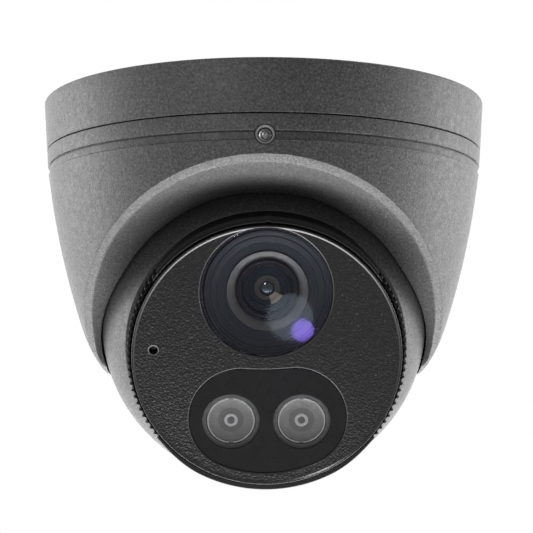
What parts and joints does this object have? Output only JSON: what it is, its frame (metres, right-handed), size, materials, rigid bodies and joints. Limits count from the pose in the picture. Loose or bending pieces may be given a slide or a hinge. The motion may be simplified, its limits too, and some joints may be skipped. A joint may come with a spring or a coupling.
{
  "type": "turret dome camera",
  "caption": "Ceiling turret camera: round base, rotating cup with an oblique eye opening, and a ball with a lens and lamps that pans, tilts and rolls.",
  "frame": {"origin": "centre of the flat face that is screwed to the ceiling", "axes": "+Z out of the ceiling face, into the ceiling; the camera hangs towards -Z and looks towards -Y, with +X to the viewer's right"},
  "size_m": [0.122, 0.122, 0.1052],
  "materials": {
    "powder_coat": "fine-grained charcoal powder coat on die-cast aluminium",
    "black_plastic": "black moulded plastic with a leather grain",
    "rubber": "black rubber",
    "steel": "plain stainless steel",
    "acetal": "natural white acetal",
    "aluminium": "plain aluminium plate",
    "clear": "clear optical window",
    "smoked": "dark tinted acrylic",
    "coated_glass": "coated lens glass with a purple reflection",
    "grey_plastic": "satin grey plastic",
    "board_green": "green solder mask on glass fibre board",
    "chip_black": "black epoxy package",
    "phosphor": "yellow phosphor on a lamp chip",
    "pad_blue": "soft silicone pad"
  },
  "bodies": {
    "base": {"mounting_base": "powder_coat", "cable_grommet": "rubber"},
    "cup": {"cup_housing": "powder_coat", "lock_screw": "steel", "cup_gasket": "rubber", "tilt_bush_left": "acetal", "tilt_bush_right": "acetal"},
    "yoke": {"tilt_yoke": "steel", "roll_bush": "acetal"},
    "ball": {"ball_shell_front": "powder_coat", "ball_shell_rear": "powder_coat", "front_cover": "black_plastic", "grip_ring": "black_plastic", "lens_baffle": "black_plastic", "lens_barrel": "black_plastic", "lens_stop": "black_plastic", "lens_holder": "black_plastic", "board_connector": "black_plastic", "lamp_mask": "black_plastic", "shell_seal": "rubber", "front_seal": "rubber", "microphone_gasket": "rubber", "roll_nut": "steel", "standoff_1": "steel", "standoff_2": "steel", "standoff_3": "steel", "standoff_4": "steel", "board_screw_1": "steel", "board_screw_2": "steel", "board_screw_3": "steel", "board_screw_4": "steel", "microphone": "steel", "cable_connector": "acetal", "inner_bracket": "aluminium", "lens_window": "clear", "lamp_optic_left": "clear", "lamp_optic_right": "clear", "lamp_window": "smoked", "lens_front_element": "coated_glass", "lens_middle_element": "coated_glass", "lens_rear_element": "coated_glass", "lens_bezel": "grey_plastic", "lamp_holder_left": "grey_plastic", "lamp_holder_right": "grey_plastic", "sensor_board": "board_green", "main_board": "board_green", "lamp_board": "board_green", "image_sensor": "chip_black", "processor": "chip_black", "lamp_chip_left": "phosphor", "lamp_chip_right": "phosphor", "thermal_pad": "pad_blue"}
  },
  "joints": [
    {"name": "pan", "type": "hinge", "parent": "base", "child": "cup", "pos_m": [0, 0, 0], "axis": [0, 0, 1], "range_deg": [-180, 180]},
    {"name": "tilt", "type": "hinge", "parent": "cup", "child": "yoke", "pos_m": [0, 0, -0.0593], "axis": [0.9996, 0.0279, 0], "range_deg": [-7, 57]},
    {"name": "roll", "type": "hinge", "parent": "yoke", "child": "ball", "pos_m": [0, 0, -0.0593], "axis": [0.0261, -0.9357, -0.3518], "range_deg": [-180, 180]}
  ]
}
